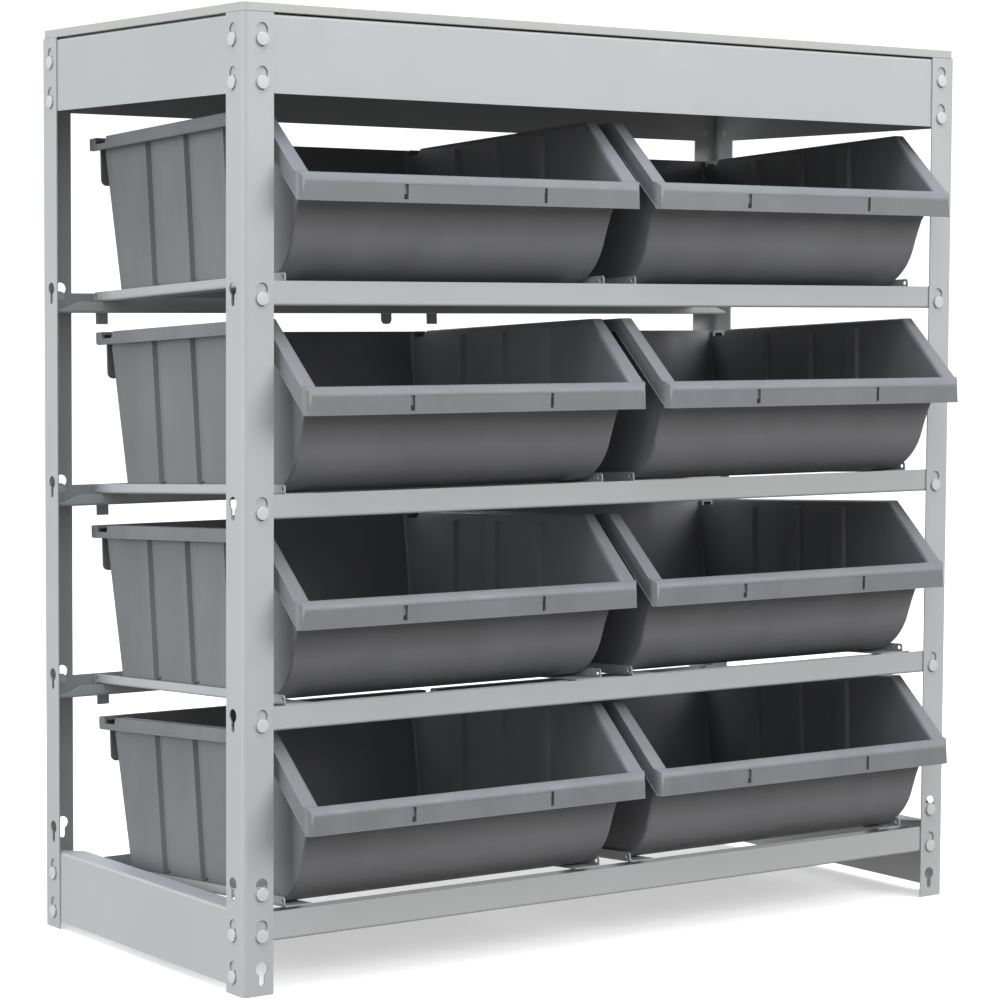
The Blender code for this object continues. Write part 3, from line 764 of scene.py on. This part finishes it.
def add_board():
    low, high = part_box("top_board")
    middle = (low + high) / 2
    size = high - low
    half, deep, corner = size.x / 2, size.y / 2, BOARD_CORNER
    outline = []
    for x, y, start in ((1, -1, 270), (1, 1, 0), (-1, 1, 90), (-1, -1, 180)):
        centre = (x * (half - corner), y * (deep - corner))
        outline += arc(centre, corner, start, start + 90, BOARD_CORNER_STEPS)
    shape = swept(outline, "Z", -size.z / 2, size.z / 2)
    rims = [edge for edge in shape.edges if abs(edge.verts[0].co.z - edge.verts[1].co.z) < size.z / 2]
    bmesh.ops.bevel(shape, geom=rims, offset=BOARD_EDGE, segments=3, profile=0.5, affect="EDGES")
    mesh = smoothed(mesh_from(shape))
    place = Matrix.Translation(middle)
    piece("top_board_laminate", mesh, BOARD, place, "rack", ["top_board"])


# Runners


def slope_of(tier):
    """Tilt of a tier's runners, from the slide axis of its bins."""
    axis = next(j["axis"] for j in frame["joints"] if j["name"] == f"slide_{tier}_left")
    return math.atan2(axis[2], -axis[1])


def tab_steps(cut):
    """Boolean steps that give a runner its hooked tab, its lower corners rounded by cut."""
    rear, left, right, low = RUNNER_LENGTH, TAB_START, TAB_START + TAB_WIDTH, -TAB_DROP
    far = rear + TAB_REACH
    bend = arc((far - BEND, SHEET - BEND), BEND, 90, 0, BEND_STEPS)
    inner = arc((far - BEND, SHEET - BEND), BEND - SHEET, 0, 90, BEND_STEPS)
    hook = [(rear - SHEET, 0), (rear - SHEET, SHEET), *bend, (far, low), (far - SHEET, low), *inner]
    trims = []
    for centre, start, outer in ((left + cut, 180, left - PAST), (right - cut, 270, right + PAST)):
        outline = [*arc((centre, low + cut), cut, start, start + 90, 6)]
        outline.insert(0 if start == 180 else len(outline), (outer, low + cut))
        below = [(centre, low - PAST), (outer, low - PAST)]
        outline = outline + below if start == 180 else below[:1] + outline + below[1:]
        trims.append(prism(outline, "Y", far - 2 * SHEET, far + SHEET))
    return [("UNION", prism(hook, "X", left, right)), ("DIFFERENCE", joined(trims))]


def runner_mesh(cut):
    """Left-hand runner: flange's outer face at X = 0, web to +X, front end at Y = 0."""
    corner, top, rear = RUNNER_CORNER, RUNNER_FLANGE, RUNNER_LENGTH
    section = [(0, top), *arc((BEND, BEND), BEND, 180, 270, BEND_STEPS), (RUNNER_WEB, 0)]
    section += [(RUNNER_WEB, SHEET), *arc((BEND, BEND), BEND - SHEET, 270, 180, BEND_STEPS)]
    section += [(SHEET, top)]
    body = prism(section, "Y", 0, rear)
    corners = []
    for y, out in ((0, -1), (rear, 1)):
        outline = [(y + out * PAST, top + PAST), (y - out * corner, top + PAST)]
        turn = arc((y - out * corner, top - corner), corner, 90, 90 - out * 90, 6)
        outline += [*turn, (y + out * PAST, top - corner)]
        corners.append(prism(outline, "X", -PAST, 2 * SHEET))
    holes = []
    for y in (RUNNER_HOLE_IN, rear - RUNNER_HOLE_IN):
        hole = arc((y, top / 2 + SHEET / 2), RUNNER_HOLE_R, 0, 345, 23)
        holes.append(prism(hole, "X", -SHEET, 2 * SHEET))
    steps = [] if cut is None else tab_steps(cut)
    steps += [("DIFFERENCE", joined(corners)), ("DIFFERENCE", joined(holes))]
    return smoothed(combined(body, steps))


def add_runners():
    for name in runner_nodes():
        inward = 1 if name.endswith("_a") else -1
        mesh = turned(runner_mesh(tab_cut(name)), Matrix.Diagonal((inward, 1, 1, 1)))
        tilt = slope_of(name.split("_")[1])
        low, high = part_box(name)
        x = low.x if name.endswith("_a") else high.x
        z = high.z - RUNNER_FLANGE * math.cos(tilt) + RUNNER_CORNER * math.sin(tilt)
        place = Matrix.Translation((x, low.y, z)) @ Matrix.Rotation(-tilt, 4, "X")
        piece(f"{name}_steel", mesh, STEEL, place, "rack", [name])


# Bins


def front_wall_outline(offset):
    """The front wall and its round foot, from the lip down to the floor, moved inwards."""
    top, low = FRONT_WALL
    slope = math.atan2(top[1] - low[1], low[0] - top[0])
    shift = (offset * math.sin(slope), offset * math.cos(slope))
    centre = (low[0] + FRONT_FOOT_R * math.sin(slope), FRONT_FOOT_R)
    start = 180 + math.degrees(math.pi / 2 - slope)
    foot = arc(centre, FRONT_FOOT_R - offset, start, 270, 14)
    return [(top[0] + shift[0], top[1] + shift[1]), *foot]


def back_wall_outline(offset):
    """The back wall and its round foot, from the floor up to the rim, moved inwards."""
    lean = math.atan2(BACK_TOP - BACK_FOOT, BIN_HEIGHT)
    radius = BACK_FOOT_R - offset
    centre_y = BACK_FOOT + BACK_FOOT_R * math.tan(lean) - BACK_FOOT_R / math.cos(lean)
    foot = arc((centre_y, BACK_FOOT_R), radius, 270, 360 - math.degrees(lean), 6)
    return [*foot, (BACK_TOP - offset / math.cos(lean), BIN_HEIGHT)]


def drafted(mesh):
    """A mesh of the tub, made at the underside's width, spread with height by the draft."""
    for vertex in mesh.vertices:
        vertex.co.x *= 1 + BIN_DRAFT * vertex.co.z
    return mesh


def corner_column(offset, margin):
    """Column with the tub's small round corners at the back."""
    lean = (BACK_TOP - BACK_FOOT) / BIN_HEIGHT
    radius = CORNER_R - offset / 2
    half = BIN_HALF_BODY - offset
    back = BACK_FOOT - offset / math.cos(math.atan(lean))
    right = [(half, -0.1), *arc((half - radius, back - radius), radius, 0, 90, 6)]
    left = [(-x, y) for x, y in reversed(right)]
    column = drafted(prism(right + left, "Z", -margin, BIN_HEIGHT + margin))
    shear = Matrix.Identity(4)
    shear[1][2] = lean
    return turned(column, shear)


def plan_column(inset):
    """Upright column with the rim's rounded corners, a skirt's thickness or nothing inside it."""
    front_r, back_r = (radius - inset for radius in RIM_CORNERS)
    half, front, back = BIN_HALF_LIP - inset, inset - GAP, BIN_LENGTH - inset
    outline = arc((-half + front_r, front + front_r), front_r, 180, 270, 9)
    outline += arc((half - front_r, front + front_r), front_r, 270, 360, 9)
    outline += arc((half - back_r, back - back_r), back_r, 0, 90, 6)
    outline += arc((-half + back_r, back - back_r), back_r, 90, 180, 6)
    return prism(outline, "Z", 0, BIN_HEIGHT + 0.01)


def rim_steepness():
    """Rise of the rim behind the lip, for each metre of depth."""
    return (BIN_HEIGHT - LIP_INNER[1]) / (SLOPE_TOP - LIP_INNER[0])


def rim_height(y):
    """Height of the rim's upper face behind the lip."""
    return min(BIN_HEIGHT, LIP_INNER[1] + rim_steepness() * (y - LIP_INNER[0]))


def rim_block():
    """Solid block of the lip and rim with its downturned skirt, its outer edge rounded."""
    lip_round = arc((LIP_ROUND, LIP_TOP), LIP_ROUND, 180, 95, 9)
    lip_round[-1] = LIP_INNER
    skirt_low = BIN_HEIGHT - SIDE_SKIRT
    foot_y, foot_z = SLOPE_SKIRT_FOOT
    corner = SKIRT_CORNER
    outline = [(LIP_LEAN, LIP_BOTTOM), *lip_round, (SLOPE_TOP, BIN_HEIGHT)]
    outline += [(BIN_LENGTH, BIN_HEIGHT), (BIN_LENGTH, skirt_low + corner)]
    outline += arc((BIN_LENGTH - corner, skirt_low + corner), corner, 350, 270, 5)
    outline += [(foot_y + (skirt_low - foot_z) / rim_steepness(), skirt_low), (foot_y, foot_z)]
    outline += [(foot_y - LIP_FOOT_STEP, LIP_BOTTOM)]
    solid = prism(outline, "X", -BIN_HALF_LIP, BIN_HALF_LIP)
    block = combined(solid, [("INTERSECT", plan_column(0))])
    shape = bmesh.new()
    shape.from_mesh(block)
    outer = []
    for edge in shape.edges:
        on_top = all(abs(v.co.z - rim_height(v.co.y)) < TOUCH and v.co.y > LIP_INNER[0] - TOUCH
                     for v in edge.verts)
        if on_top and edge.is_manifold and edge.calc_face_angle(0) > math.radians(RIM_CREASE):
            outer.append(edge)
    bmesh.ops.bevel(shape, geom=outer, offset=RIM_ROUND, segments=2, profile=0.5,
                    affect="EDGES", clamp_overlap=True)
    return mesh_from(shape)


def mouth_flare(step, steps):
    """Wedge that takes one facet of the rounded edge off both sides of the mouth."""
    angles = [math.radians(90 * k / steps) for k in (step, step + 1)]
    ends = [(MOUTH_ROUND * (1 - math.cos(a)), MOUTH_ROUND * (1 - math.sin(a))) for a in angles]
    (x0, d0), (x1, d1) = ends
    half_inner = (BIN_HALF_BODY - BIN_WALL) * (1 + BIN_DRAFT * BIN_HEIGHT)
    rise = 6 * PAST
    x2, d2 = x1 + (x1 - x0) * rise / (d0 - d1), d1 - rise
    slope = math.atan(rim_steepness())
    mitre = math.tan(slope / 2)
    shape = bmesh.new()
    rows = []
    ahead = 2 * PAST
    for x, depth in ((x0, d0), (x2, d2)):
        front = LIP_INNER[0] - ahead + depth * math.sin(slope)
        front_z = LIP_INNER[1] - ahead * rim_steepness() - depth * math.cos(slope)
        rows.append((x, front, front_z))
        rows.append((x, SLOPE_TOP + depth * mitre, BIN_HEIGHT - depth))
        rows.append((x, BACK_TOP - MOUTH_BACK_GAP, BIN_HEIGHT - depth))
    narrowing = BIN_DRAFT * (BIN_HALF_BODY - BIN_WALL)
    half_at = [half_inner + x - narrowing * (BIN_HEIGHT - z) for x, y, z in rows]
    left = [shape.verts.new((-h, y, z)) for h, (x, y, z) in zip(half_at, rows)]
    right = [shape.verts.new((h, y, z)) for h, (x, y, z) in zip(half_at, rows)]
    for ring in (left, right):
        shape.faces.new((ring[0], ring[1], ring[4], ring[3]))
        shape.faces.new((ring[1], ring[2], ring[5], ring[4]))
    for a, b in ((0, 1), (1, 2), (2, 5), (5, 4), (4, 3), (3, 0)):
        shape.faces.new((left[a], left[b], right[b], right[a]))
    return mesh_from(shape)


def tub_and_rim():
    """The bin's walls, floor, front lip and downturned rim, before its small details."""
    below = LIP_BOTTOM - 10 * PAST
    slab = BIN_HEIGHT - BIN_WALL
    hollow = [(LIP_LEAN + BIN_SKIRT, below), (BIN_SKIRT, LIP_TOP - LIP_CURL)]
    hollow += arc((LIP_ROUND, LIP_TOP), LIP_ROUND - BIN_SKIRT, 165, 110, 4)
    hollow += [(SLOPE_TOP + HOLLOW_TOP_STEP, slab), (BIN_LENGTH - BIN_SKIRT, slab)]
    hollow += [(BIN_LENGTH - BIN_SKIRT, below)]
    half_hollow = BIN_HALF_LIP - BIN_SKIRT
    under_rim = prism(hollow, "X", -half_hollow, half_hollow)
    under_rim = combined(under_rim, [("INTERSECT", plan_column(BIN_SKIRT))])

    sunk = 0.0004  # the tub's walls end this far inside the rim's thickness
    reach = 0.02  # how far the cutters reach above the rim
    lip_wall = (LIP_INNER[0] - LIP_WALL_TOP[0], LIP_INNER[1] - LIP_WALL_TOP[1])
    body = [lip_wall, *front_wall_outline(0), *back_wall_outline(0)[:-1]]
    body += [(BACK_TOP - TOUCH, BIN_HEIGHT - sunk), (SLOPE_TOP + sunk, BIN_HEIGHT - sunk)]
    body.append((LIP_INNER[0] + sunk, LIP_INNER[1] - sunk))

    def low(_, z):
        return z < LIP_BOTTOM + PAST

    tub = drafted(soft_prism(body, BIN_HALF_BODY, TUB_EDGE_R, low))
    tub = combined(tub, [("INTERSECT", corner_column(0, reach))])

    above = BIN_HEIGHT + reach
    lean = (BACK_TOP - BACK_FOOT) / BIN_HEIGHT
    cavity = [LIP_INNER, *front_wall_outline(BIN_WALL), *back_wall_outline(BIN_WALL)[:-1]]
    cavity += [(back_wall_outline(BIN_WALL)[-1][0] + reach * lean, above), (LIP_INNER[0], above)]
    room = drafted(soft_prism(cavity, BIN_HALF_BODY - BIN_WALL, ROOM_EDGE_R, low))
    room = combined(room, [("INTERSECT", corner_column(BIN_WALL, reach + 10 * PAST))])

    steps = [("DIFFERENCE", under_rim), ("UNION", tub), ("DIFFERENCE", room)]
    steps += [("DIFFERENCE", mouth_flare(step, MOUTH_FACETS)) for step in range(MOUTH_FACETS)]
    return combined(rim_block(), steps)


def flute_section(centre, depth_from, depth_to, widen):
    """Trapezium across a side wall, wider at depth_from; both are distances from the middle."""
    half = FLUTE_WIDTH / 2 + widen
    foot = half - FLUTE_DRAFT
    return [(depth_from, centre - half), (depth_to, centre - foot),
            (depth_to, centre + foot), (depth_from, centre + half)]


def bin_mesh():
    """The whole bin: tub and rim with flutes, pockets, hang lip, notches, label panel and bead."""
    half_inner = BIN_HALF_BODY - BIN_WALL
    outer = BIN_HALF_BODY
    grooves, ribs, pockets = [], [], []
    for centre in FLUTES:
        for side in (-1, 1):
            start, deepest = side * (half_inner + FLUTE_OVERLAP), side * (half_inner - FLUTE_DEPTH)
            rib = flute_section(centre, start, deepest, BIN_WALL)
            ribs.append(prism(rib, "Z", BIN_WALL / 2, FLUTE_TOP))
            start, deepest = side * (outer + FLUTE_CUT_PAST), side * (outer - FLUTE_DEPTH)
            cut = flute_section(centre, start, deepest, FLUTE_CUT_WIDEN)
            grooves.append(prism(cut, "Z", FLUTE_BOTTOM, FLUTE_TOP - BIN_WALL))
            width, height, deep = POCKET
            x0, x1 = sorted((side * (outer - FLUTE_DEPTH - deep), side * (outer + 2 * PAST)))
            low = FLUTE_BOTTOM - height / 2
            pockets.append(box((x0, centre - width / 2, low), (x1, centre + width / 2, low + height)))
    steps = [("UNION", drafted(joined(ribs))), ("DIFFERENCE", drafted(joined(grooves)))]
    steps.append(("DIFFERENCE", drafted(joined(pockets))))

    half_hang = BIN_HALF_LIP - HANG_LIP_INSET
    corner, low = HANG_LIP_CORNER, HANG_LIP_BOTTOM
    top = BIN_HEIGHT - SIDE_SKIRT + HANG_LIP_OVERLAP
    hang = [(half_hang, top), (-half_hang, top)]
    hang += arc((-half_hang + corner, low + corner), corner, 180, 270, 8)
    hang += arc((half_hang - corner, low + corner), corner, 270, 360, 8)
    back = BIN_LENGTH - HANG_LIP_SUNK
    steps.append(("UNION", prism(hang, "Y", BIN_LENGTH - BIN_SKIRT - HANG_LIP_SUNK, back)))

    cuts = []
    notch_low = BIN_HEIGHT - NOTCH_DEPTH
    above = BIN_HEIGHT + 2 * PAST
    for side in (-1, 1):
        x0, x1 = sorted((side * (half_inner - NOTCH_INWARD), side * (BIN_HALF_LIP + 2 * PAST)))
        outline = [(NOTCH[0] + NOTCH_SLANT[0], notch_low), (NOTCH[1] - NOTCH_SLANT[1], notch_low)]
        outline += [(NOTCH[1], above), (NOTCH[0] - NOTCH_SLANT[0], above)]
        cuts.append(prism(outline, "X", x0, x1))
    steps.append(("DIFFERENCE", joined(cuts)))

    steps += [("DIFFERENCE", cut) for cut in label_cuts()]
    return smoothed(joined([convex_faces(combined(tub_and_rim(), steps)), skirt_bead()]))


def skirt_bead():
    """Fine round bead along the lower edge of the lip and of the rim's skirt, down both sides."""
    skirt_low = BIN_HEIGHT - SIDE_SKIRT
    foot_y, foot_z = SLOPE_SKIRT_FOOT
    corner = RIM_CORNERS[0]
    slope_end = foot_y + (skirt_low - foot_z) / rim_steepness()
    side = [(-BIN_HALF_LIP, BIN_LENGTH - corner, skirt_low), (-BIN_HALF_LIP, slope_end, skirt_low)]
    side.append((-BIN_HALF_LIP, corner, foot_z + (corner - foot_y) * rim_steepness()))
    for x, y in arc((-BIN_HALF_LIP + corner, corner), corner, 190, 270, 8):
        low = LIP_BOTTOM if y < foot_y - LIP_FOOT_STEP else foot_z
        side.append((x, max(y, LIP_LEAN + BEAD_INSET), low))
    path = [Vector(p) for p in side] + [Vector((-x, y, z)) for x, y, z in reversed(side)]
    shape = bmesh.new()
    rings = []
    for i, point in enumerate(path):
        along = (path[min(i + 1, len(path) - 1)] - path[max(i - 1, 0)]).normalized()
        up = (Vector((0, 0, 1)) - along * along.z).normalized()
        out = along.cross(up)
        ring = []
        for k in range(BEAD_SIDES):
            angle = 2 * math.pi * k / BEAD_SIDES
            offset = (out * math.cos(angle) + up * math.sin(angle)) * BEAD_R
            ring.append(shape.verts.new(point + up * BEAD_R + offset))
        rings.append(ring)
    for first, second in zip(rings, rings[1:]):
        for k in range(BEAD_SIDES):
            j = (k + 1) % BEAD_SIDES
            shape.faces.new((first[k], first[j], second[j], second[k]))
    shape.faces.new(rings[0])
    shape.faces.new(rings[-1])
    return mesh_from(shape)


def label_cuts():
    """Shallow panel in the lip's face and a groove at each end, the right one narrower."""
    low, high = LIP_BOTTOM + LABEL_LEDGE, LIP_TOP - LABEL_BELOW_TOP
    ahead = -2 * PAST

    def face(z):
        return LIP_LEAN * (LIP_TOP - z) / (LIP_TOP - LIP_BOTTOM)

    panel = [(ahead, low), (face(low) + LABEL_DEPTH, low), (face(high) + LABEL_DEPTH, high)]
    panel.append((ahead, high))
    cuts = [prism(panel, "X", -LABEL_HALF, LABEL_HALF)]
    for side in (-1, 1):
        inner = side * (LABEL_HALF - LABEL_OVERLAP)
        width, depth = LABEL_GROOVES[side]
        left, right = sorted((inner, side * (LABEL_HALF + width)))
        groove = [(ahead, low - TOUCH), (face(low) + depth, low - TOUCH)]
        groove += [(face(high) + depth, high + TOUCH), (ahead, high + TOUCH)]
        cuts.append(prism(groove, "X", left, right))
    return cuts


def add_bins():
    mesh = bin_mesh()
    for name in sorted(frame["bodies"]):
        if not name.startswith("bin_"):
            continue
        tilt = slope_of(name.split("_")[1])
        low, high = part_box(name)
        x = (low.x + high.x) / 2
        y = high.y - BIN_LENGTH * math.cos(tilt) - BIN_HEIGHT * math.sin(tilt)
        z = high.z + SLOPE_TOP * math.sin(tilt) - BIN_HEIGHT * math.cos(tilt)
        place = Matrix.Translation((x, y, z)) @ Matrix.Rotation(-tilt, 4, "X")
        piece(f"{name}_shell", mesh, PLASTIC, place, name, [name])


# Stage


def add_stage():
    """Plain pale floor that curves up far behind, all round."""
    curve = arc((STAGE_FLAT, STAGE_CURVE), STAGE_CURVE, 270, 330, 12)
    profile = [(1.0, 0.0), *curve]
    shape = bmesh.new()
    rings = []
    for radius, z in profile:
        ring = []
        for i in range(STAGE_SIDES):
            angle = 2 * math.pi * i / STAGE_SIDES
            ring.append(shape.verts.new((radius * math.cos(angle), radius * math.sin(angle), z)))
        rings.append(ring)
    shape.faces.new(rings[0])
    for first, second in zip(rings, rings[1:]):
        for i in range(STAGE_SIDES):
            j = (i + 1) % STAGE_SIDES
            shape.faces.new((first[i], second[i], second[j], first[j]))
    mesh = bpy.data.meshes.new("stage")
    shape.to_mesh(mesh)
    shape.free()
    mesh.shade_smooth()
    floor = bpy.data.objects.new("stage_floor", mesh)
    floor.location.z = cad_low.z - 0.0002
    bpy.context.scene.collection.objects.link(floor)
    nodes = Nodes("stage_paper", 0.9, specular=0.1)
    tone = nodes.blend(nodes.ramp(nodes.noise(1.5), 0.0, 1.0), *STAGE_TONES)
    nodes.shader.inputs["Emission Color"].default_value = (1.0, 1.0, 1.0, 1.0)
    nodes.shader.inputs["Emission Strength"].default_value = STAGE_GLOW
    mesh.materials.append(nodes.finish(tone))
    floor.visible_diffuse = False
    floor.visible_glossy = False
    floor.visible_shadow = False


def add_world():
    """Soft white room: bright above, dimmer below the horizon."""
    world = bpy.data.worlds.new("room")
    bpy.context.scene.world = world
    world.use_nodes = True
    tree = world.node_tree
    background = tree.nodes["Background"]
    coordinate = tree.nodes.new("ShaderNodeTexCoord")
    split = tree.nodes.new("ShaderNodeSeparateXYZ")
    level = tree.nodes.new("ShaderNodeMapRange")
    level.inputs["From Min"].default_value, level.inputs["From Max"].default_value = HORIZON
    level.inputs["To Min"].default_value = WORLD_BELOW
    level.inputs["To Max"].default_value = WORLD_ABOVE
    tree.links.new(coordinate.outputs["Generated"], split.inputs["Vector"])
    tree.links.new(split.outputs["Z"], level.inputs["Value"])
    tree.links.new(level.outputs["Result"], background.inputs["Strength"])
    tint = tree.nodes.new("ShaderNodeMix")
    tint.data_type = "RGBA"
    tint.inputs[6].default_value = WARM_BELOW
    tint.inputs[7].default_value = COOL_ABOVE
    share = tree.nodes.new("ShaderNodeMapRange")
    share.inputs["From Min"].default_value, share.inputs["From Max"].default_value = HORIZON
    tree.links.new(split.outputs["Z"], share.inputs["Value"])
    tree.links.new(share.outputs["Result"], tint.inputs[0])
    tree.links.new(tint.outputs[2], background.inputs["Color"])
    bpy.context.scene.view_settings.view_transform = "Standard"


def add_light(name, place, target, size, energy, colour):
    data = bpy.data.lights.new(name, "AREA")
    data.shape = "RECTANGLE"
    data.size, data.size_y = size
    data.energy = energy
    data.color = colour
    lamp = bpy.data.objects.new(name, data)
    bpy.context.scene.collection.objects.link(lamp)
    direction = Vector(target) - Vector(place)
    lamp.rotation_euler = direction.to_track_quat("-Z", "Y").to_euler()
    lamp.location = place


def add_lights():
    middle = (cad_low + cad_high) / 2
    for name, (place, size, energy, colour) in LIGHTS.items():
        add_light(name, place, middle, size, energy, colour)


def add_camera():
    data = bpy.data.cameras.new("camera")
    data.lens = CAMERA_LENS
    data.sensor_width = CAMERA_SENSOR
    data.clip_end = 60.0
    camera = bpy.data.objects.new("camera", data)
    bpy.context.scene.collection.objects.link(camera)
    camera.location = CAMERA_PLACE
    camera.rotation_euler = CAMERA_AIM
    bpy.context.scene.camera = camera


add_camera()
add_posts()
add_tall_beams()
add_tier_beams()
add_board()
add_runners()
add_bins()
add_stage()
add_world()
add_lights()
